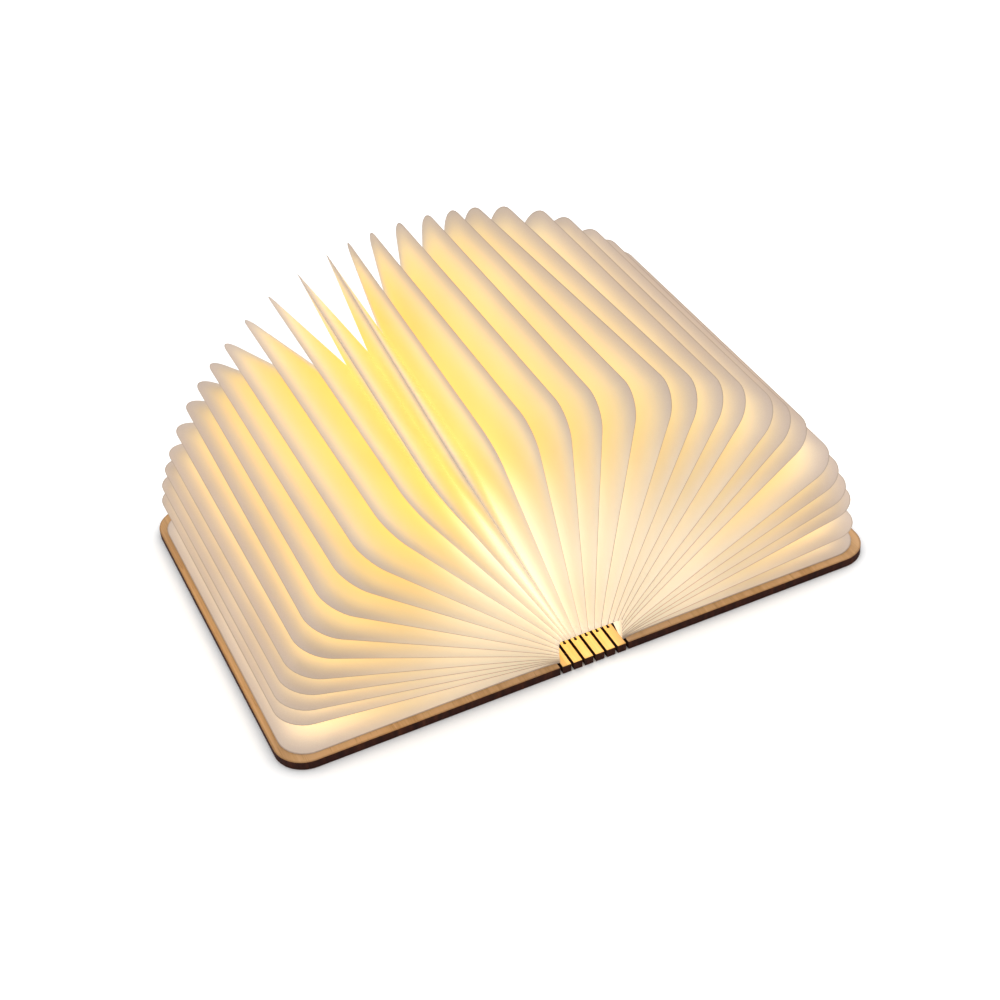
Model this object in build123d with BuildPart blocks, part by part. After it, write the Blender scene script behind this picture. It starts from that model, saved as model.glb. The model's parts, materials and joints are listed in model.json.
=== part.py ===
"""Folding book lamp: two wooden covers on a laser-cut living hinge, with a fan of folded leaves
lit by a slim light bar on the spine.

X runs across the open covers, Y along the spine and Z up. The lamp lies open at 180 degrees, with the
underside of its covers at Z = 0 and the middle of the spine at the origin. Sizes are in millimetres,
angles in degrees.
"""

import os
from itertools import accumulate
from math import cos, exp, radians, sin, tan

from build123d import *

# ---- covers and living hinge --------------------------------------------------------------------------
board_length = 122.0  # along the spine
open_width = 184.6  # over both covers, flat
board_thickness = 2.6
board_corner_radius = 9.2
kerf_pitch = 3.45  # from one open kerf to the next
rows_per_side = 3  # kerfs that bend, on each side of the spine
steepest_row = 35.5  # degrees, the most that one kerf folds when the lamp is shut
kerf_clearance = 0.03
slit_width = 0.6  # staggered slits between the kerfs
slit_setback = 8.3  # from the board's end to the start of a slit
slit_bridge = 6.0  # wood left in the middle, between two slits
slit_dot_radius = 0.45  # where the laser starts a slit
end_kerf_length = 36.0  # open kerf, from the board's end to its first link
link_length = 4.0  # wood that bridges a kerf

# ---- shade --------------------------------------------------------------------------------------------
leaf_reach = 82.4  # from a leaf's root line to its outer edge
leaf_lip = 2.6  # cover that shows past the leaves, near and far
leaf_corner_radius = 8.5
corner_facets = 4  # flat facets that each rounded corner is folded from
fold_depth = 22.0  # from a ridge to the inner folds on each side of it
fold_corner_radius = 8.0
sheet = 0.15
seam_width = 1.5  # the two sheets of a leaf are joined along its ridge
fold_gap = 0.1  # between neighbouring leaves, at their shared fold and at their feet
root_spread = 9.5  # the first and last root lines, from the middle of the spine
arch_half_width = 9.8  # the leaves' feet leave an arch over the spine
arch_height = 7.2
# Degrees between one leaf and the next, from the left cover over to the right, and how often each repeats.
leaf_gap_angles = [8.0, 3.8, 5.2, 6.4, 5.75, 7.3, 6.1, 7.9, 5.6, 10.3, 5.2, 4.1, 6.5]
leaf_gap_repeats = [1, 3, 5, 4, 7, 1, 1, 1, 2, 1, 2, 1, 1]
# The roots bunch towards each cover: (middle leaf, leaves to each side, shift along X).
root_bunches = [(13.5, 2.6, -1.7), (20.5, 2.6, 1.3)]

# ---- light bar ----------------------------------------------------------------------------------------
bar_gap = 0.4  # between the tall part's ends and the inner folds of the leaves
socket_setback = 4.0  # from the board's far end to the charging socket's mouth
bar_half_width = 5.2
tail_half_width = 4.6
foot_half_width = 2.8
foot_height = 1.6
channel_height = 4.8
tail_height = 3.6
keel_radius = 0.8
floor_thickness = 0.8
wall_thickness = 1.1
ledge_width = 0.7  # under the lamp board
tail_wall = 0.8
lens_thickness = 1.0
cap_thickness = 1.2
cap_lip = 0.8
fit_clearance = 0.1
lamp_board_thickness = 1.0
chip_length = 3.5
chip_width = 2.8
chip_height = 0.7
chip_count = 9
chip_pitch = 7.4
cell_length = 44.0
cell_radius = 0.6
control_board_length = 36.0
control_board_thickness = 0.8
socket_width = 7.0
socket_height = 2.4
socket_depth = 5.6
socket_wall = 0.3
switch_length = 4.0
switch_width = 1.5
switch_height = 1.2
screw_radius = 0.8
screw_head_radius = 1.5
screw_head_height = 0.9
screw_bite = 2.0
magnet_radius = 4.0
magnet_thickness = 1.5
magnet_inset_x = 10.5  # from the cover's outer edge
magnet_inset_y = 14.0  # from its ends
key_magnet_radius = 2.0
key_magnet_x = -16.5
key_magnet_setback = 15.0  # from the board's far end, beside the magnetic switch

# ---- worked out ---------------------------------------------------------------------------------------
half_length = board_length / 2
half_width = open_width / 2
board_top = board_thickness
kerf_width = board_thickness * tan(radians(steepest_row / 2)) + kerf_clearance
strip_width = kerf_pitch - kerf_width
spine_half_width = rows_per_side * kerf_pitch
link_y = half_length - end_kerf_length - link_length / 2
leaf_half_height = half_length - leaf_lip
leaf_gaps = [gap for gap, repeats in zip(leaf_gap_angles, leaf_gap_repeats) for _ in range(repeats)]
leaf_gaps.append(180.0 - sum(leaf_gaps))
leaf_angles = [0.0, *accumulate(leaf_gaps)]
last_leaf = len(leaf_angles) - 1
leaf_stack = 2 * sheet + fold_gap
bar_step = leaf_half_height - fold_depth - bar_gap  # where the tall part ends and the low tail starts
bar_start = -bar_step
bar_end = half_length - socket_setback
channel_bottom = board_top + foot_height
channel_top = channel_bottom + channel_height
floor_top = channel_bottom + floor_thickness
tail_top = channel_bottom + tail_height
channel_start = bar_start + cap_thickness
channel_end = bar_step - cap_thickness
board_half_width = bar_half_width - wall_thickness
bay_half_width = board_half_width - ledge_width
ledge_top = channel_top - lamp_board_thickness
tail_bay_half_width = tail_half_width - tail_wall
socket_z = (channel_bottom + tail_top) / 2
magnet_x = half_width - magnet_inset_x
magnet_y = half_length - magnet_inset_y
key_magnet_y = half_length - key_magnet_setback


def root_x(index):
    """Where the plane of a leaf, whole or halfway to the next, meets the top of the board."""
    spread = root_spread * (2 * index / last_leaf - 1)
    bunching = [shift * exp(-(((index - middle) / width) ** 2)) for middle, width, shift in root_bunches]
    return spread + sum(bunching)


def lean(index):
    """A leaf's angle from the left cover, with an inner fold halfway between two leaves."""
    lower = int(index)
    upper = min(lower + 1, last_leaf)
    return leaf_angles[lower] + (index - lower) * (leaf_angles[upper] - leaf_angles[lower])


def leaf_plane(index):
    """Plane of a leaf: X outwards from its root, Y along the spine, Z towards the left cover."""
    angle = radians(lean(index))
    origin = (root_x(index), 0, board_top + sheet + fold_gap)
    return Plane(origin=origin, x_dir=(-cos(angle), 0, sin(angle)), z_dir=(-sin(angle), 0, -cos(angle)))


def crowded_radius(index):
    """Distance from the root where a leaf and the next stand a full stack of sheets apart."""
    angle = radians(lean(index + 0.5))
    root_step = (root_x(index + 1) - root_x(index)) * sin(angle)
    return (leaf_stack - root_step) / sin(radians(leaf_gaps[index]))


def foot_radius(index):
    """Distance from its root line to a leaf's foot on the arch, or further out where leaves crowd."""
    angle = radians(leaf_angles[index])
    to_top = arch_height / max(sin(angle), 1e-3)
    side = arch_half_width - abs(root_x(index))
    to_side = side / max(abs(cos(angle)), 1e-3)
    crowding = [crowded_radius(i) for i in (index - 1, index) if 0 <= i < last_leaf]
    return max(min(to_top, to_side), *crowding)


def leaf_line(plane, foot, inset, corner):
    """Points of a U line in a leaf's plane, from its near foot round the outer edge to its far foot."""
    side = leaf_half_height - inset
    reach = leaf_reach - inset
    turns = [radians(90 * step / corner_facets) for step in range(corner_facets + 1)]
    bend = [(reach - corner + corner * sin(turn), side - corner + corner * cos(turn)) for turn in turns]
    far_half = [(foot, side), *bend]
    near_half = [(x, -y) for x, y in far_half]
    return [plane.from_local_coords((x, y, 0)) for x, y in near_half + far_half[::-1]]


def leaf_side(index, side):
    """The U lines of one face of a leaf: its rim, its seam and its inner fold."""
    plane = leaf_plane(index)
    foot = foot_radius(index)
    rim = leaf_line(plane.offset(side * sheet), foot, 0, leaf_corner_radius)
    neighbour = index - side
    if not 0 <= neighbour <= last_leaf:
        faces = (plane.offset(side * sheet), plane)
        return [rim, *(leaf_line(face, foot, fold_depth, fold_corner_radius) for face in faces)]
    seam = leaf_line(plane.offset(side * sheet), foot, seam_width, leaf_corner_radius - seam_width)
    fold_plane = leaf_plane((index + neighbour) / 2).offset(-side * fold_gap / 2)
    root_shift = (fold_plane.origin - plane.origin).dot(plane.x_dir)
    fold_foot = (foot - root_shift) / fold_plane.x_dir.dot(plane.x_dir)
    inner_plane = Plane(fold_plane.origin - plane.z_dir * side * sheet, fold_plane.x_dir, fold_plane.z_dir)
    folds = [leaf_line(each, fold_foot, fold_depth, fold_corner_radius) for each in (fold_plane, inner_plane)]
    return [rim, seam, *folds]


def shade_leaf(index):
    """A leaf: two sheets joined along the ridge, each slanting in to the fold it shares with a neighbour."""
    crease = leaf_line(leaf_plane(index), foot_radius(index), seam_width, leaf_corner_radius - seam_width)
    outline = [*leaf_side(index, 1), crease, *reversed(leaf_side(index, -1))]
    facets = [[line[0] for line in outline], [line[-1] for line in outline]]
    for line, next_line in zip(outline, outline[1:] + outline[:1]):
        for start, end, next_start, next_end in zip(line, line[1:], next_line, next_line[1:]):
            if (next_end - start).length < (next_start - end).length:
                facets += [[start, end, next_end], [start, next_end, next_start]]
            else:
                facets += [[start, end, next_start], [end, next_end, next_start]]
    with BuildPart() as leaf:
        add(Solid(Shell([Face(Wire.make_polygon(corners)) for corners in facets])))
    return leaf.part


def cross_plane(y):
    """A plane across the spine at y, with X to the right and Y up, whose normal is towards the near end."""
    return Plane(origin=(0, y, 0), x_dir=(1, 0, 0), z_dir=(0, -1, 0))


def cut_slits(x):
    """Cut the two slits of one column, in the sketch that is open."""
    slit_end = half_length - slit_setback
    slit_length = slit_end - slit_bridge / 2
    for end in (-1, 1):
        with Locations((x, end * (slit_end - slit_length / 2))):
            Rectangle(slit_width, slit_length, mode=Mode.SUBTRACT)
        with Locations((x, end * slit_end)):
            Circle(slit_dot_radius, mode=Mode.SUBTRACT)


def keep(builder, name):
    """Label a finished piece and write its file."""
    builder.part.label = name
    export_step(builder.part, f"parts/{name}.step")


os.makedirs("parts", exist_ok=True)

# ---- spine --------------------------------------------------------------------------------------------
with BuildPart() as spine_centre:
    with BuildSketch():
        Rectangle(2 * kerf_pitch - kerf_width, board_length)
        Rectangle(kerf_width, 2 * link_y - link_length, mode=Mode.SUBTRACT)
        with GridLocations(1, board_length - end_kerf_length, 1, 2):
            Rectangle(kerf_width, end_kerf_length, mode=Mode.SUBTRACT)
        cut_slits(-kerf_pitch / 2)
        cut_slits(kerf_pitch / 2)
    extrude(amount=board_thickness)
    with Locations((0, -link_y, board_top), (0, link_y, board_top)):
        Hole(screw_radius, depth=screw_bite)
keep(spine_centre, "spine_centre")

for side_name, side in (("left", -1), ("right", 1)):
    for row in range(1, rows_per_side + 1):
        with BuildPart() as spine_links:
            with BuildSketch():
                with Locations((side * row * kerf_pitch, 0)):
                    with GridLocations(1, 2 * link_y, 1, 2):
                        Rectangle(kerf_width, link_length)
            extrude(amount=board_thickness)
        keep(spine_links, f"spine_links_{side_name}_{row}")

    for strip in range(1, rows_per_side):
        strip_x = side * (strip + 0.5) * kerf_pitch
        with BuildPart() as spine_strip:
            with BuildSketch():
                with Locations((strip_x, 0)):
                    Rectangle(strip_width, board_length)
                cut_slits(strip_x)
            extrude(amount=board_thickness)
        keep(spine_strip, f"spine_strip_{side_name}_{strip}")

    # ---- cover, with pockets for its magnets under the glued leaf ----
    cover_start = spine_half_width + kerf_width / 2
    with BuildPart() as cover:
        with BuildSketch() as cover_outline:
            with Locations((side * (cover_start + half_width) / 2, 0)):
                Rectangle(half_width - cover_start, board_length)
            outer_corners = cover_outline.vertices().sort_by(Axis.X)[:2] if side < 0 else (
                cover_outline.vertices().sort_by(Axis.X)[-2:])
            fillet(outer_corners, board_corner_radius)
        extrude(amount=board_thickness)
        with Locations((side * magnet_x, -magnet_y, board_top), (side * magnet_x, magnet_y, board_top)):
            Hole(magnet_radius + fit_clearance, depth=magnet_thickness)
        if side < 0:
            with Locations((key_magnet_x, key_magnet_y, board_top)):
                Hole(key_magnet_radius + fit_clearance, depth=magnet_thickness)
    keep(cover, f"cover_{side_name}")

    with BuildPart() as cover_magnets:
        with BuildSketch(Plane.XY.offset(board_top)):
            with Locations((side * magnet_x, -magnet_y), (side * magnet_x, magnet_y)):
                Circle(magnet_radius)
        extrude(amount=-magnet_thickness)
    keep(cover_magnets, f"cover_magnets_{side_name}")

with BuildPart() as switch_magnet:
    with BuildSketch(Plane.XY.offset(board_top)):
        with Locations((key_magnet_x, key_magnet_y)):
            Circle(key_magnet_radius)
    extrude(amount=-magnet_thickness)
keep(switch_magnet, "switch_magnet")

# ---- light bar: a channel on a narrow foot, so that the strips can fold up around it ----------------------
with BuildPart() as light_bar_base:
    with BuildSketch(cross_plane(bar_step)) as tall_section:
        with Locations((0, channel_bottom)):
            Rectangle(2 * bar_half_width, channel_height, align=(Align.CENTER, Align.MIN))
        fillet(tall_section.vertices().group_by(Axis.Y)[0], keel_radius)
    extrude(amount=bar_step - channel_start)
    with BuildSketch(cross_plane(bar_end)) as tail_section:
        with Locations((0, channel_bottom)):
            Rectangle(2 * tail_half_width, tail_height, align=(Align.CENTER, Align.MIN))
        fillet(tail_section.vertices(), keel_radius)
    extrude(amount=bar_end - bar_step)
    with BuildSketch(Plane.XY.offset(board_top)):
        with Locations((0, (channel_start + bar_end) / 2)):
            Rectangle(2 * foot_half_width, bar_end - channel_start)
    extrude(amount=foot_height)
    with BuildSketch(cross_plane(channel_end)):
        with Locations((0, ledge_top)):
            Rectangle(2 * board_half_width, lamp_board_thickness, align=(Align.CENTER, Align.MIN))
        with Locations((0, floor_top)):
            Rectangle(2 * bay_half_width, ledge_top - floor_top, align=(Align.CENTER, Align.MIN))
    extrude(amount=channel_end - channel_start, mode=Mode.SUBTRACT)
    with BuildSketch(cross_plane(bar_end - tail_wall)):
        with Locations((0, floor_top)):
            tail_bay_height = tail_top - tail_wall - floor_top
            Rectangle(2 * tail_bay_half_width, tail_bay_height, align=(Align.CENTER, Align.MIN))
    extrude(amount=bar_end - tail_wall - channel_end, mode=Mode.SUBTRACT)
    with BuildSketch(cross_plane(bar_end)):
        with Locations((0, socket_z)):
            Rectangle(socket_width + 2 * fit_clearance, socket_height + 2 * fit_clearance)
    extrude(amount=socket_depth, mode=Mode.SUBTRACT)
    with Locations((0, -link_y, floor_top), (0, link_y, floor_top)):
        CounterBoreHole(
            radius=screw_radius + fit_clearance,
            counter_bore_radius=screw_head_radius + fit_clearance,
            counter_bore_depth=screw_head_height,
            depth=floor_thickness + foot_height,
        )
keep(light_bar_base, "light_bar_base")

with BuildPart() as housing_screws:
    with BuildSketch(Plane.XY.offset(floor_top)):
        with GridLocations(1, 2 * link_y, 1, 2):
            Circle(screw_head_radius)
    extrude(amount=-screw_head_height)
    with BuildSketch(Plane.XY.offset(floor_top)):
        with GridLocations(1, 2 * link_y, 1, 2):
            Circle(screw_radius)
    extrude(amount=board_top - screw_bite - floor_top)
    with GridLocations(1, 2 * link_y, 1, 2):
        with Locations((0, 0, floor_top)):
            Box(2 * screw_radius, screw_head_height / 3, screw_head_height, mode=Mode.SUBTRACT)
keep(housing_screws, "housing_screws")

with BuildPart() as battery_cell:
    cell_width = 2 * (bay_half_width - fit_clearance)
    cell_start = channel_start + cap_lip + fit_clearance
    with BuildSketch(cross_plane(cell_start + cell_length)):
        with Locations((0, (floor_top + ledge_top - fit_clearance) / 2)):
            RectangleRounded(cell_width, ledge_top - fit_clearance - floor_top, cell_radius)
    extrude(amount=cell_length)
keep(battery_cell, "battery_cell")

with BuildPart() as control_board:
    with BuildSketch(Plane.XY.offset(floor_top)):
        with Locations((0, bar_end - socket_depth)):
            Rectangle(
                2 * (bay_half_width - fit_clearance), control_board_length, align=(Align.CENTER, Align.MAX)
            )
    extrude(amount=control_board_thickness)
keep(control_board, "control_board")

with BuildPart() as magnetic_switch:
    with BuildSketch(Plane.XY.offset(floor_top + control_board_thickness)):
        with Locations((-bay_half_width + switch_width, key_magnet_y)):
            Rectangle(switch_width, switch_length)
    extrude(amount=switch_height)
keep(magnetic_switch, "magnetic_switch")

with BuildPart() as charging_socket:
    with BuildSketch(cross_plane(bar_end)):
        with Locations((0, socket_z)):
            RectangleRounded(socket_width, socket_height, socket_height / 3)
    extrude(amount=socket_depth)
    mouth = charging_socket.faces().sort_by(Axis.Y)[-1]
    offset(amount=-socket_wall, openings=mouth)
    with BuildSketch(cross_plane(bar_end - socket_wall)):
        with Locations((0, socket_z)):
            Rectangle(socket_width / 2, socket_wall)
    extrude(amount=socket_depth - 2 * socket_wall)
keep(charging_socket, "charging_socket")

with BuildPart() as led_board:
    with BuildSketch(Plane.XY.offset(ledge_top)):
        Rectangle(2 * (board_half_width - fit_clearance), channel_end - channel_start - 2 * fit_clearance)
    extrude(amount=lamp_board_thickness)
keep(led_board, "led_board")

with BuildPart() as led_chips:
    with BuildSketch(Plane.XY.offset(channel_top)):
        with GridLocations(1, chip_pitch, 1, chip_count):
            Rectangle(chip_width, chip_length)
    extrude(amount=chip_height)
keep(led_chips, "led_chips")

with BuildPart() as light_bar_diffuser:
    with BuildSketch(cross_plane(channel_end)):
        with Locations((0, channel_top)):
            Circle(bar_half_width)
            Circle(bar_half_width - lens_thickness, mode=Mode.SUBTRACT)
            Rectangle(3 * bar_half_width, bar_half_width, align=(Align.CENTER, Align.MAX), mode=Mode.SUBTRACT)
    extrude(amount=channel_end - channel_start)
keep(light_bar_diffuser, "light_bar_diffuser")

# The far cap stands on the channel's end wall; the near one closes the channel as well.
lip_radius = bar_half_width - lens_thickness - fit_clearance
with BuildPart() as end_cap_far:
    for radius, start, depth in (
        (bar_half_width, bar_step, cap_thickness),
        (lip_radius, channel_end, cap_lip),
    ):
        with BuildSketch(cross_plane(start)):
            with Locations((0, channel_top)):
                Circle(radius)
                Rectangle(3 * radius, 2 * radius, align=(Align.CENTER, Align.MAX), mode=Mode.SUBTRACT)
        extrude(amount=depth)
keep(end_cap_far, "light_bar_end_cap_far")

with BuildPart() as end_cap_near:
    with BuildSketch(cross_plane(channel_start)) as cap_section:
        with Locations((0, channel_bottom)):
            Rectangle(2 * bar_half_width, channel_height, align=(Align.CENTER, Align.MIN))
        fillet(cap_section.vertices().group_by(Axis.Y)[0], keel_radius)
        with Locations((0, channel_top)):
            Circle(bar_half_width)
    extrude(amount=cap_thickness)
    with BuildSketch(cross_plane(channel_start + cap_lip)):
        with Locations((0, channel_top)):
            Circle(lip_radius)
            Rectangle(3 * lip_radius, 2 * lip_radius, align=(Align.CENTER, Align.MAX), mode=Mode.SUBTRACT)
        with Locations((0, floor_top)):
            Rectangle(
                2 * (bay_half_width - fit_clearance), ledge_top - fit_clearance - floor_top,
                align=(Align.CENTER, Align.MIN),
            )
    extrude(amount=cap_lip)
keep(end_cap_near, "light_bar_end_cap_near")

# ---- shade --------------------------------------------------------------------------------------------
for number in range(last_leaf + 1):
    shade = shade_leaf(number)
    shade.label = f"leaf_{number:02d}"
    export_step(shade, f"parts/{shade.label}.step")
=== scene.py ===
import json
import math

import bpy
from mathutils import Matrix, Vector, noise


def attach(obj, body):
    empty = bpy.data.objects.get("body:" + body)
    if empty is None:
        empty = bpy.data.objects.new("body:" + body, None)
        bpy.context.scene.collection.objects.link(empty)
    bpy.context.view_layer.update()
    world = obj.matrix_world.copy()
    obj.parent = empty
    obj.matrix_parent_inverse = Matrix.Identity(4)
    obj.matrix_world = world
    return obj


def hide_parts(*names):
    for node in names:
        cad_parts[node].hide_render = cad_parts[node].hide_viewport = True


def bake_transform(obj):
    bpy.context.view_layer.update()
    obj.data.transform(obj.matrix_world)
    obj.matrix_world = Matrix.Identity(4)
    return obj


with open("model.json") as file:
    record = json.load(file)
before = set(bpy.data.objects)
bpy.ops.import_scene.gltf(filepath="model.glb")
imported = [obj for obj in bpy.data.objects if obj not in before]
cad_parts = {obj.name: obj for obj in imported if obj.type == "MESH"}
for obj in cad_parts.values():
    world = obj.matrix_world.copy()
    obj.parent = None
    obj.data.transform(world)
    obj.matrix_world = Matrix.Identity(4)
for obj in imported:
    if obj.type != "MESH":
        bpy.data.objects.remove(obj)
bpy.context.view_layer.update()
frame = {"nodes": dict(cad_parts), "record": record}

# Lengths here are in millimetres, turned into metres by MM where a mesh or a lamp is made.
MM = 0.001

# ---- sizes shared with the part's source ----------------------------------------------------------------
HALF_LENGTH = 61.0
HALF_WIDTH = 92.3
BOARD_TOP = 2.6
BOARD_CORNER = 9.2
LEAF_REACH = 82.4
LEAF_SIDE = 58.4
LEAF_CORNER = 8.5
FOLD_DEPTH = 22.0
FOLD_CORNER = 8.0
ROOT_SPREAD = 9.5
ROOT_HEIGHT = 2.85
ARCH_HALF_WIDTH = 9.8
ARCH_HEIGHT = 7.2
BAR_HALF_LENGTH = 36.0
BAR_HEIGHT = 9.0
GAP_ANGLES = [8.0, 3.8, 5.2, 6.4, 5.75, 7.3, 6.1, 7.9, 5.6, 10.3, 5.2, 4.1, 6.5]
GAP_REPEATS = [1, 3, 5, 4, 7, 1, 1, 1, 2, 1, 2, 1, 1]
ROOT_BUNCHES = [(13.5, 2.6, -1.7), (20.5, 2.6, 1.3)]

# ---- sizes of the dressed shade -------------------------------------------------------------------------
# Leaves that stand a little twisted: (middle leaf, leaves to each side, degrees at the far end).
TWISTS = [(6.3, 1.2, 0.9), (12.9, 1.5, 2.7), (19.3, 1.3, -2.6)]
COVER_LIP = 1.6  # more of each cover shows past the leaf that lies on it
FOOT_FLARE = 0.8  # the feet stand out by this much
FOOT_GATHER = 0.88  # share of a fold's depth that is gone at its foot
FOOT_FADE = 6  # power with which both of these fade out along a leaf
FOOT_CROWDING = 1.4  # power that sets more points near the feet
GLUE_LINE = 0.08  # between a cover and the sheet on it
SIDE_STEPS, CORNER_STEPS, OUTER_STEPS, CROSS_STEPS = 14, 8, 7, 8
LAMP_REACH = 95.0  # distance from the light bar at which reach is 1
LAMP_REACH_LIMIT = 1.2
LOW_HEIGHT = 45.0  # below this the folds look brighter, since they lie close together
LOW_GLOW = 0.85
CLOUD_SIZE = 21.0
CLOUD_DEPTH = 0.22

gaps = [gap for gap, repeats in zip(GAP_ANGLES, GAP_REPEATS) for _ in range(repeats)]
gaps.append(180.0 - sum(gaps))
LEAF_ANGLES = [sum(gaps[:k]) for k in range(len(gaps) + 1)]
LAST_LEAF = len(gaps)

body_of = {}
for body, members in frame["record"]["behaviour"]["bodies"].items():
    for member in members:
        body_of[member] = body


# ---- shader helpers -------------------------------------------------------------------------------------
def new_material(name):
    material = bpy.data.materials.new(name)
    material.use_nodes = True
    tree = material.node_tree
    tree.nodes.clear()
    output = tree.nodes.new("ShaderNodeOutputMaterial")
    return material, tree, output


def add(tree, kind, **inputs):
    """A node with its properties and sockets set.

    A socket's name is written with _ for each space, or as i and its number.
    """
    node = tree.nodes.new("ShaderNode" + kind)
    for key, value in inputs.items():
        if hasattr(node, key):
            setattr(node, key, value)
            continue
        numbered = key[0] == "i" and key[1:].isdigit()
        target = node.inputs[int(key[1:]) if numbered else key.replace("_", " ")]
        if isinstance(value, bpy.types.NodeSocket):
            tree.links.new(value, target)
        else:
            target.default_value = value
    return node


def maths(tree, operation, first, second=0.0):
    return add(tree, "Math", operation=operation, i0=first, i1=second).outputs[0]


def ramp(tree, factor, stops):
    node = tree.nodes.new("ShaderNodeValToRGB")
    elements = node.color_ramp.elements
    while len(elements) < len(stops):
        elements.new(0.5)
    for element, (position, color) in zip(elements, stops):
        element.position = position
        element.color = (*color, 1.0)
    tree.links.new(factor, node.inputs[0])
    return node.outputs[0]


def mix_color(tree, factor, first, second):
    node = tree.nodes.new("ShaderNodeMix")
    node.data_type = "RGBA"
    for socket, value in ((node.inputs[0], factor), (node.inputs[6], first), (node.inputs[7], second)):
        if isinstance(value, bpy.types.NodeSocket):
            tree.links.new(value, socket)
        else:
            socket.default_value = value if isinstance(value, float) else (*value, 1.0)
    return node.outputs[2]


def smooth(tree, value, low, high):
    node = add(tree, "MapRange", interpolation_type="SMOOTHSTEP", Value=value, From_Min=low, From_Max=high)
    return node.outputs[0]


def stretched(tree, place, scale):
    """Object coordinates, scaled by axis."""
    return add(tree, "Mapping", Vector=place, Scale=scale).outputs[0]


def seen_directly(tree):
    """1 for rays from the camera, in mirrors and through glass, and 0 for rays that carry light."""
    path = tree.nodes.new("ShaderNodeLightPath").outputs
    mirrored = maths(tree, "MAXIMUM", path["Is Camera Ray"], path["Is Glossy Ray"])
    return maths(tree, "MAXIMUM", mirrored, path["Is Transmission Ray"])


# ---- materials ------------------------------------------------------------------------------------------
def wood_material(name, glow):
    """Pale veneered board with straight grain along the spine, and laser-burnt edges and fringes."""
    material, tree, output = new_material(name)
    coords = tree.nodes.new("ShaderNodeTexCoord")
    place, normal = coords.outputs["Object"], coords.outputs["Normal"]
    split = add(tree, "SeparateXYZ", Vector=place)
    x, y = split.outputs["X"], split.outputs["Y"]

    fibres = add(tree, "TexNoise", Vector=stretched(tree, place, (900.0, 26.0, 500.0)),
                 Scale=1.0, Detail=6.0, Roughness=0.62).outputs["Fac"]
    bands = add(tree, "TexNoise", Vector=stretched(tree, place, (140.0, 5.0, 80.0)),
                Scale=1.0, Detail=3.0, Distortion=0.6).outputs["Fac"]
    pores = add(tree, "TexNoise", Vector=stretched(tree, place, (2600.0, 130.0, 900.0)),
                Scale=1.0, Detail=2.0).outputs["Fac"]
    grain = ramp(tree, fibres, [
        (0.28, (0.45, 0.25, 0.11)),
        (0.5, (0.60, 0.36, 0.17)),
        (0.75, (0.72, 0.47, 0.25)),
    ])
    face = mix_color(tree, smooth(tree, bands, 0.42, 0.66), grain, (0.68, 0.42, 0.22))
    pitted = maths(tree, "MULTIPLY", smooth(tree, pores, 0.62, 0.74), 0.45)
    face = mix_color(tree, pitted, face, (0.30, 0.14, 0.045))

    # Distance from the outline of the open covers, for the scorched fringe on both faces.
    across = maths(tree, "SUBTRACT", maths(tree, "ABSOLUTE", x), (HALF_WIDTH - BOARD_CORNER) * MM)
    along = maths(tree, "SUBTRACT", maths(tree, "ABSOLUTE", y), (HALF_LENGTH - BOARD_CORNER) * MM)
    round_part = maths(tree, "SQRT", maths(tree, "ADD",
                       maths(tree, "POWER", maths(tree, "MAXIMUM", across, 0.0), 2.0),
                       maths(tree, "POWER", maths(tree, "MAXIMUM", along, 0.0), 2.0)))
    inside = maths(tree, "MINIMUM", maths(tree, "MAXIMUM", across, along), 0.0)
    outline = maths(tree, "SUBTRACT", maths(tree, "ADD", round_part, inside), BOARD_CORNER * MM)
    wander = maths(tree, "MULTIPLY", maths(tree, "SUBTRACT", bands, 0.5), 0.6 * MM)
    fringe = smooth(tree, maths(tree, "ADD", outline, wander), -0.75 * MM, -0.05 * MM)
    face = mix_color(tree, maths(tree, "MULTIPLY", fringe, 0.55), face, (0.20, 0.075, 0.02))

    soot = add(tree, "TexNoise", Vector=stretched(tree, place, (700.0, 700.0, 120.0)),
               Scale=1.0, Detail=5.0).outputs["Fac"]
    edge = ramp(tree, soot, [
        (0.3, (0.020, 0.006, 0.004)),
        (0.55, (0.042, 0.011, 0.006)),
        (0.8, (0.085, 0.026, 0.011)),
    ])
    upright = add(tree, "SeparateXYZ", Vector=normal).outputs["Z"]
    is_edge = smooth(tree, maths(tree, "ABSOLUTE", upright), 0.75, 0.45)
    color = mix_color(tree, is_edge, face, edge)

    height = maths(tree, "ADD", maths(tree, "MULTIPLY", fibres, 0.7), maths(tree, "MULTIPLY", pores, 0.5))
    bump = add(tree, "Bump", Strength=0.25, Distance=0.0001, Height=height).outputs[0]
    sheen = add(tree, "MapRange", Value=fibres, To_Min=0.40, To_Max=0.58).outputs[0]
    rough = maths(tree, "MAXIMUM", sheen, maths(tree, "MULTIPLY", is_edge, 0.9))
    shader = add(tree, "BsdfPrincipled", Base_Color=color, Roughness=rough, Normal=bump)
    shader.inputs["Specular IOR Level"].default_value = 0.2
    if glow:
        # Lamplight that falls on the spine between the feet of the leaves.
        middle = smooth(tree, maths(tree, "ABSOLUTE", x), 13.0 * MM, 6.0 * MM)
        top = smooth(tree, upright, 0.5, 0.9)
        lit = maths(tree, "MULTIPLY", maths(tree, "MULTIPLY", middle, top), 0.80)
        amber = mix_color(tree, fibres, (1.0, 0.52, 0.07), (1.0, 0.66, 0.16))
        tree.links.new(amber, shader.inputs["Emission Color"])
        tree.links.new(lit, shader.inputs["Emission Strength"])
        material.cycles.emission_sampling = "NONE"
    tree.links.new(shader.outputs[0], output.inputs[0])
    return material


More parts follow.
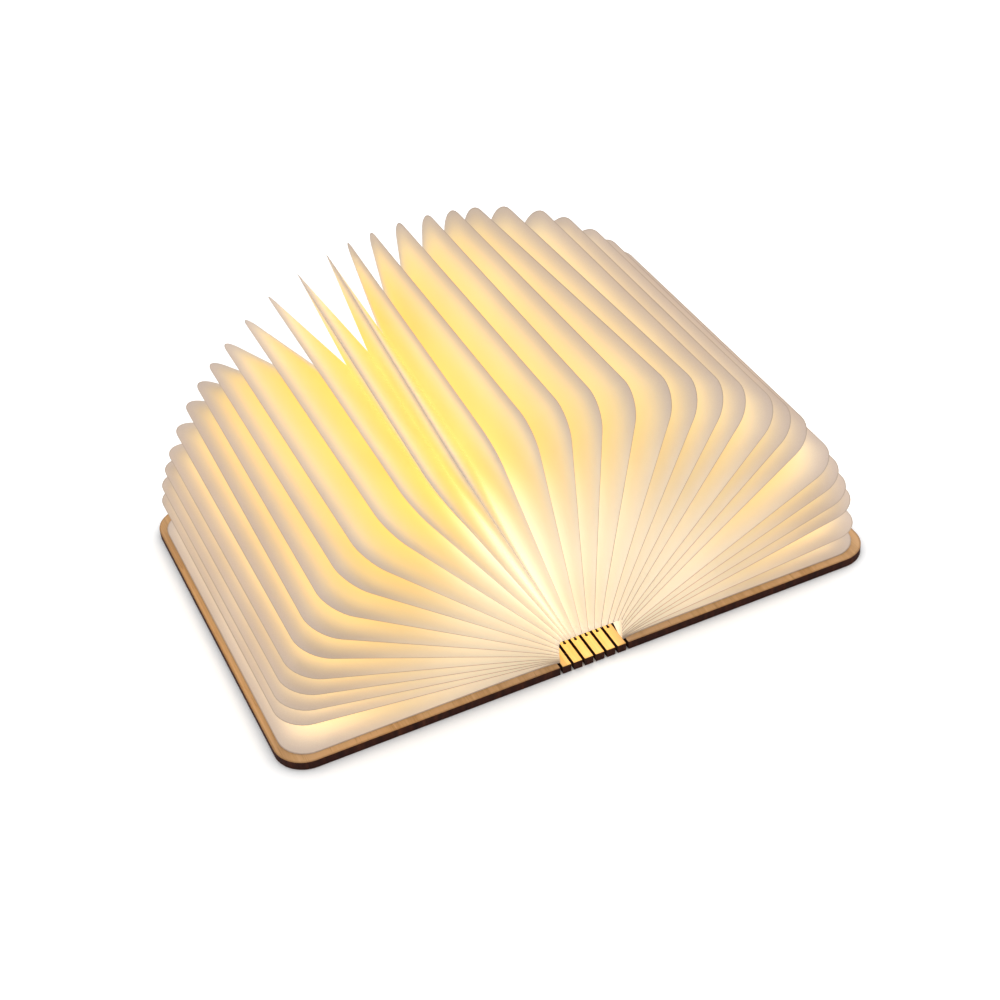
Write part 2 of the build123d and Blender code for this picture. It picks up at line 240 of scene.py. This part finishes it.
def paper_material():
    """Folded coated paper, lit through by the lamp behind it and shaded by the room.

    Every sheet of the shade carries four values: depth is 0 on a ridge and 1 at an inner fold, reach is 0 by
    the lamp and 1 at the far corners, rim is the distance from the ridge in metres, and cloud, about 1, scales
    the painted lamplight: the paper's uneven cloudiness, with painted extra glow low down where folds lie
    close.
    """
    material, tree, output = new_material("paper")
    depth, reach, rim, cloud_and_low_glow = (add(tree, "Attribute", attribute_name=name).outputs["Fac"]
                                for name in ("depth", "reach", "rim", "cloud_and_low_glow"))
    coords = tree.nodes.new("ShaderNodeTexCoord").outputs["Object"]
    fibre = add(tree, "TexNoise", Vector=coords, Scale=2300.0, Detail=1.0, Roughness=0.7).outputs["Fac"]

    # Paper colour: its own grey pink on the ridges. The yellow in the folds and the whiter tone by the lamp
    # are painted lamplight, and the darker tips are painted shade.
    lamp_tinted_paper = ramp(tree, depth, [
        (0.0, (0.88, 0.83, 0.80)),
        (0.22, (0.94, 0.88, 0.73)),
        (1.0, (0.98, 0.85, 0.40)),
    ])
    lamp_tinted_paper = mix_color(tree, smooth(tree, reach, 0.35, 0.68), (0.95, 0.91, 0.84), lamp_tinted_paper)
    # Painted shade: the outer faces turn grey towards the far tips, away from the lamp.
    outermost = maths(tree, "MULTIPLY", smooth(tree, reach, 0.58, 0.92), smooth(tree, depth, 0.34, 0.0))
    tip_shaded_paper = mix_color(tree, outermost, lamp_tinted_paper, (0.52, 0.46, 0.47))
    # Painted shade: a dark line along each ridge, where the two sheets fold together.
    crease_shade = smooth(tree, rim, 0.38 * MM, 0.18 * MM)
    base = mix_color(tree, maths(tree, "MULTIPLY", crease_shade, 0.75), tip_shaded_paper, (0.48, 0.40, 0.36))
    flecks = smooth(tree, fibre, 0.35, 0.75)
    base = mix_color(tree, maths(tree, "MULTIPLY", flecks, 0.06), base, (1.0, 1.0, 1.0))

    # The lamp's light that comes through it: deeper in the folds, whiter by the lamp and low down.
    light = ramp(tree, depth, [
        (0.0, (1.0, 0.85, 0.66)),
        (0.30, (1.0, 0.80, 0.42)),
        (1.0, (1.0, 0.72, 0.14)),
    ])
    light = mix_color(tree, smooth(tree, reach, 0.30, 0.80), (1.0, 0.92, 0.81), light)
    light = mix_color(tree, smooth(tree, cloud_and_low_glow, 1.15, 2.0), light, (1.0, 0.90, 0.74))
    beside = maths(tree, "MULTIPLY", smooth(tree, reach, 0.66, 0.34), 0.075)
    beyond = maths(tree, "MULTIPLY", smooth(tree, reach, 0.55, 1.0), 0.19)
    near = maths(tree, "ADD", maths(tree, "ADD", beside, beyond), 0.20)
    deep = add(tree, "MapRange", Value=depth, To_Min=0.45, To_Max=1.5).outputs[0]
    strength = maths(tree, "MULTIPLY", maths(tree, "MULTIPLY", near, deep), cloud_and_low_glow)
    # Painted shade: less painted glow along the ridges, where the paper lies double.
    double_layer = maths(tree, "SUBTRACT", 1.0, maths(tree, "MULTIPLY", crease_shade, 0.7))
    strength = maths(tree, "MULTIPLY", strength, double_layer)

    bump = add(tree, "Bump", Strength=0.12, Distance=0.00004, Height=fibre).outputs[0]
    front = add(tree, "BsdfPrincipled", Base_Color=base, Roughness=0.62, Normal=bump,
                Emission_Color=light, Emission_Strength=strength)
    front.inputs["Specular IOR Level"].default_value = 0.25
    through = add(tree, "BsdfTranslucent", Color=mix_color(tree, 0.5, base, (1.0, 0.88, 0.62)))
    blend = tree.nodes.new("ShaderNodeMixShader")
    blend.inputs[0].default_value = 0.35
    tree.links.new(front.outputs[0], blend.inputs[1])
    tree.links.new(through.outputs[0], blend.inputs[2])
    tree.links.new(blend.outputs[0], output.inputs[0])
    material.cycles.emission_sampling = "NONE"
    return material


def moulded_material(name, color, rough=0.5, grain=0.35, metal=0.0, emission=None, strength=0.0):
    """A moulded or plated part with a fine surface grain and faint handling marks."""
    material, tree, output = new_material(name)
    coords = tree.nodes.new("ShaderNodeTexCoord").outputs["Object"]
    fine = add(tree, "TexNoise", Vector=coords, Scale=3500.0, Detail=3.0).outputs["Fac"]
    broad = add(tree, "TexNoise", Vector=coords, Scale=160.0, Detail=3.0).outputs["Fac"]
    tone = mix_color(tree, add(tree, "MapRange", Value=broad, From_Min=0.35, From_Max=0.7).outputs[0],
                     color, tuple(channel * 0.9 for channel in color))
    bump = add(tree, "Bump", Strength=grain, Distance=0.00003, Height=fine).outputs[0]
    worn = add(tree, "MapRange", Value=broad, To_Min=rough - 0.06, To_Max=rough + 0.08).outputs[0]
    shader = add(tree, "BsdfPrincipled", Base_Color=tone, Roughness=worn, Metallic=metal, Normal=bump)
    if emission:
        shader.inputs["Emission Color"].default_value = (*emission, 1.0)
        shader.inputs["Emission Strength"].default_value = strength
    tree.links.new(shader.outputs[0], output.inputs[0])
    return material


wood = wood_material("wood", glow=False)
spine_wood = wood_material("spine_wood", glow=True)
paper = paper_material()
finishes = {
    "bar_plastic": moulded_material("bar_plastic", (0.80, 0.78, 0.74), 0.45),
    "frosted_lens": moulded_material("frosted_lens", (0.95, 0.86, 0.66), 0.6, emission=(1.0, 0.88, 0.66),
                                     strength=0.8),
    "lamp_board": moulded_material("lamp_board", (0.85, 0.85, 0.82), 0.4),
    "led_chip": moulded_material("led_chip", (1.0, 0.78, 0.30), 0.4, emission=(1.0, 0.75, 0.40), strength=3.0),
    "cell_foil": moulded_material("cell_foil", (0.66, 0.66, 0.68), 0.35, metal=0.9),
    "circuit_board": moulded_material("circuit_board", (0.05, 0.22, 0.11), 0.35),
    "socket_steel": moulded_material("socket_steel", (0.62, 0.62, 0.63), 0.3, grain=0.15, metal=1.0),
    "switch_glass": moulded_material("switch_glass", (0.05, 0.05, 0.05), 0.2),
    "screw_steel": moulded_material("screw_steel", (0.58, 0.58, 0.60), 0.32, grain=0.15, metal=1.0),
    "magnet": moulded_material("magnet", (0.66, 0.66, 0.68), 0.22, grain=0.1, metal=1.0),
    "wood": wood,
    "paper": paper,
}
for entry in frame["record"]["subparts"]:
    node = frame["nodes"][entry["node"]]
    finish = finishes[entry["material_slot"]]
    if entry["node"].startswith("spine_"):
        finish = spine_wood
    for material_slot in node.material_slots:
        material_slot.link = "OBJECT"
        material_slot.material = finish


# ---- shade ----------------------------------------------------------------------------------------------
def root_x(index):
    """Where a leaf's root line crosses the spine. An index between two whole ones is a fold between leaves."""
    spread = ROOT_SPREAD * (2 * index / LAST_LEAF - 1)
    bunching = [shift * math.exp(-(((index - middle) / width) ** 2)) for middle, width, shift in ROOT_BUNCHES]
    return spread + sum(bunching)


def lean(index):
    lower = int(index)
    upper = min(lower + 1, LAST_LEAF)
    return LEAF_ANGLES[lower] + (index - lower) * (LEAF_ANGLES[upper] - LEAF_ANGLES[lower])


def twist(index):
    """Degrees that a leaf leans further at its far end than in the middle."""
    return sum(turn * math.exp(-(((index - middle) / width) ** 2)) for middle, width, turn in TWISTS)


def foot_radius(index):
    """Distance from its root line to a leaf's foot on the arch."""
    angle = math.radians(lean(index))
    to_top = ARCH_HEIGHT / max(math.sin(angle), 1e-3)
    to_side = (ARCH_HALF_WIDTH - abs(root_x(index))) / max(abs(math.cos(angle)), 1e-3)
    return max(min(to_top, to_side), 0.5)


def on_leaf(index, radius, y):
    """The place, in millimetres, of a point on a leaf's plane."""
    angle = math.radians(lean(index) + twist(index) * y / LEAF_SIDE)
    return Vector((root_x(index) - radius * math.cos(angle), y, ROOT_HEIGHT + radius * math.sin(angle)))


def leaf_line(index, inset, corner):
    """A U line on a leaf's plane, from the near foot round the outer edge to the far foot."""
    foot = foot_radius(index)
    from_cover = min(index, LAST_LEAF - index)
    side, reach = LEAF_SIDE - inset, LEAF_REACH - inset - COVER_LIP * math.exp(-(from_cover ** 2))
    start = reach - corner
    far = []
    for step in range(SIDE_STEPS):
        share = step / SIDE_STEPS
        gather = (1.0 - share) ** FOOT_FADE
        radius = foot + (start - foot) * share ** FOOT_CROWDING
        far.append((radius, side + gather * (FOOT_FLARE + FOOT_GATHER * inset)))
    for step in range(CORNER_STEPS):
        turn = math.radians(90 * step / CORNER_STEPS)
        far.append((start + corner * math.sin(turn), side - corner + corner * math.cos(turn)))
    far += [(reach, (side - corner) * (1 - step / OUTER_STEPS)) for step in range(OUTER_STEPS)]
    near = [(radius, -y) for radius, y in far]
    return [on_leaf(index, radius, y) for radius, y in near + [(reach, 0.0)] + far[::-1]]


def lamp_distance(point):
    """From the light bar, in millimetres."""
    on_bar = Vector((0.0, max(-BAR_HALF_LENGTH, min(BAR_HALF_LENGTH, point.y)), BAR_HEIGHT))
    return (point - on_bar).length


def sheet_mesh(name, panels, feet=()):
    """One mesh from ruled panels, each (ridge line, inner fold line), with what the paper's finish reads.

    Where two panels meet at an inner fold, feet are the ends of their lines that are glued to each other.
    """
    points, faces, depths, rims, reaches, clouds_and_low_glow = [], [], [], [], [], []
    for ridge, fold, flip in panels:
        offset = len(points)
        for step in range(CROSS_STEPS + 1):
            share = step / CROSS_STEPS
            for start, end in zip(ridge, fold):
                point = start.lerp(end, share)
                points.append(point * MM)
                depths.append(share)
                rims.append((point - start).length * MM)
                reaches.append(min(lamp_distance(point) / LAMP_REACH, LAMP_REACH_LIMIT))
                # Painted lamplight: the glow is raised low down, where the folds lie close, and more so far
                # from the lamp.
                sunk = max(0.0, 1.0 - point.z / LOW_HEIGHT) * min(reaches[-1], 1.0)
                clouds_and_low_glow.append(1.0 + CLOUD_DEPTH * noise.noise(point / CLOUD_SIZE) + LOW_GLOW * sunk)
        row = len(ridge)
        for step in range(CROSS_STEPS):
            for k in range(row - 1):
                corner = offset + step * row + k
                quad = (corner, corner + 1, corner + row + 1, corner + row)
                faces.append(quad[::-1] if flip else quad)
    for foot in feet:
        for step in range(1, CROSS_STEPS):
            first, second = (step * row + foot % row + offset for offset in (0, len(points) // 2))
            faces.append((first, first + row, second + row, second))
    mesh = bpy.data.meshes.new(name)
    mesh.from_pydata(points, [], faces)
    for attribute, values in (("depth", depths), ("rim", rims), ("reach", reaches), ("cloud_and_low_glow", clouds_and_low_glow)):
        mesh.attributes.new(attribute, "FLOAT", "POINT").data.foreach_set("value", values)
    mesh.polygons.foreach_set("use_smooth", [True] * len(mesh.polygons))
    mesh.materials.append(paper)
    piece = bpy.data.objects.new(name, mesh)
    bpy.context.scene.collection.objects.link(piece)
    return piece


ridges = [leaf_line(k, 0.0, LEAF_CORNER) for k in range(LAST_LEAF + 1)]
for k in range(LAST_LEAF):
    fold = leaf_line(k + 0.5, FOLD_DEPTH, FOLD_CORNER)
    pleat = sheet_mesh(f"pleat_{k:02d}", [(ridges[k], fold, False), (ridges[k + 1], fold, True)], feet=(0, -1))
    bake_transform(pleat)
    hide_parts(f"leaf_{k:02d}", f"leaf_{k + 1:02d}")

# The outer sheets of the first and last leaves lie glued on the covers.
for side, index in (("left", 0), ("right", LAST_LEAF)):
    rim, inner = ([Vector((point.x, point.y, BOARD_TOP + GLUE_LINE)) for point in line]
                  for line in (ridges[index], leaf_line(index, FOLD_DEPTH, FOLD_CORNER)))
    flap = sheet_mesh(f"flap_{side}", [(rim, inner, index == 0)])
    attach(flap, body_of[f"leaf_{index:02d}"])
    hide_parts(f"leaf_{index:02d}")


# ---- floor, light and camera ----------------------------------------------------------------------------
FLOOR_HALF_WIDTH = 3.0  # metres, as all in this part
FLOOR_DROP = 0.0002
ROOM_LEVEL = 0.50
SHADE_MIDDLE = (0.0, 0.0, 0.03)
CAMERA_PLACE = (-0.16211, -0.39636, 0.35930)
CAMERA_TURNS = (22.278, 38.77, -4.615)  # yaw, pitch down and roll, in degrees


def studio_surface():
    """White floor: plain under the lamps, and topped up to white where it is seen or mirrored."""
    material, tree, output = new_material("studio_floor")
    matte = add(tree, "BsdfDiffuse", Color=(0.82, 0.82, 0.82, 1.0))
    open_air = add(tree, "AmbientOcclusion", samples=4, Distance=0.006).outputs["AO"]
    lift = maths(tree, "MULTIPLY", maths(tree, "POWER", open_air, 2.0), 0.46)
    top_up = add(tree, "Emission", Color=(1.0, 1.0, 1.0, 1.0),
                 Strength=maths(tree, "MULTIPLY", seen_directly(tree), lift))
    both = tree.nodes.new("ShaderNodeAddShader")
    tree.links.new(matte.outputs[0], both.inputs[0])
    tree.links.new(top_up.outputs[0], both.inputs[1])
    tree.links.new(both.outputs[0], output.inputs[0])
    return material


floor_mesh = bpy.data.meshes.new("studio_floor")
floor_corners = [(x * FLOOR_HALF_WIDTH, y * FLOOR_HALF_WIDTH, 0)
                 for x, y in ((-1, -1), (1, -1), (1, 1), (-1, 1))]
floor_mesh.from_pydata(floor_corners, [], [(0, 1, 2, 3)])
floor_mesh.materials.append(studio_surface())
floor = bpy.data.objects.new("studio_floor", floor_mesh)
floor.location.z = -FLOOR_DROP
bpy.context.scene.collection.objects.link(floor)

world = bpy.data.worlds.new("studio")
bpy.context.scene.world = world
world.use_nodes = True
sky = world.node_tree
sky.nodes.clear()
sky_level = add(sky, "MapRange", Value=seen_directly(sky), To_Min=ROOM_LEVEL, To_Max=1.0).outputs[0]
background = add(sky, "Background", Color=(1.0, 1.0, 1.0, 1.0), Strength=sky_level)
sky.links.new(background.outputs[0], sky.nodes.new("ShaderNodeOutputWorld").inputs[0])


def softbox(name, place, size, power):
    """A square area light, turned to the middle of the shade."""
    data = bpy.data.lights.new(name, "AREA")
    data.shape, data.size, data.energy = "SQUARE", size, power
    lamp = bpy.data.objects.new(name, data)
    lamp.location = place
    lamp.rotation_euler = (Vector(SHADE_MIDDLE) - Vector(place)).to_track_quat("-Z", "Y").to_euler()
    bpy.context.scene.collection.objects.link(lamp)


softbox("softbox_top", (0.25, 0.15, 0.95), 0.9, 5.0)
softbox("softbox_left", (-0.9, -0.5, 0.55), 0.8, 2.2)

camera_data = bpy.data.cameras.new("camera")
camera_data.sensor_width = 36.0
camera_data.lens = 66.12
camera_data.clip_start, camera_data.clip_end = 0.01, 20.0
camera = bpy.data.objects.new("camera", camera_data)
yaw, pitch, roll = (math.radians(degrees) for degrees in CAMERA_TURNS)
ahead = Vector((math.sin(yaw) * math.cos(pitch), math.cos(yaw) * math.cos(pitch), -math.sin(pitch)))
level = Vector((math.cos(yaw), -math.sin(yaw), 0.0))
lifted = level.cross(ahead)
right = math.cos(roll) * level + math.sin(roll) * lifted
up = -math.sin(roll) * level + math.cos(roll) * lifted
turn = Matrix((right, up, -ahead)).transposed().to_4x4()
camera.matrix_world = Matrix.Translation(CAMERA_PLACE) @ turn
bpy.context.scene.collection.objects.link(camera)
bpy.context.scene.camera = camera
bpy.context.scene.view_settings.view_transform = "Standard"
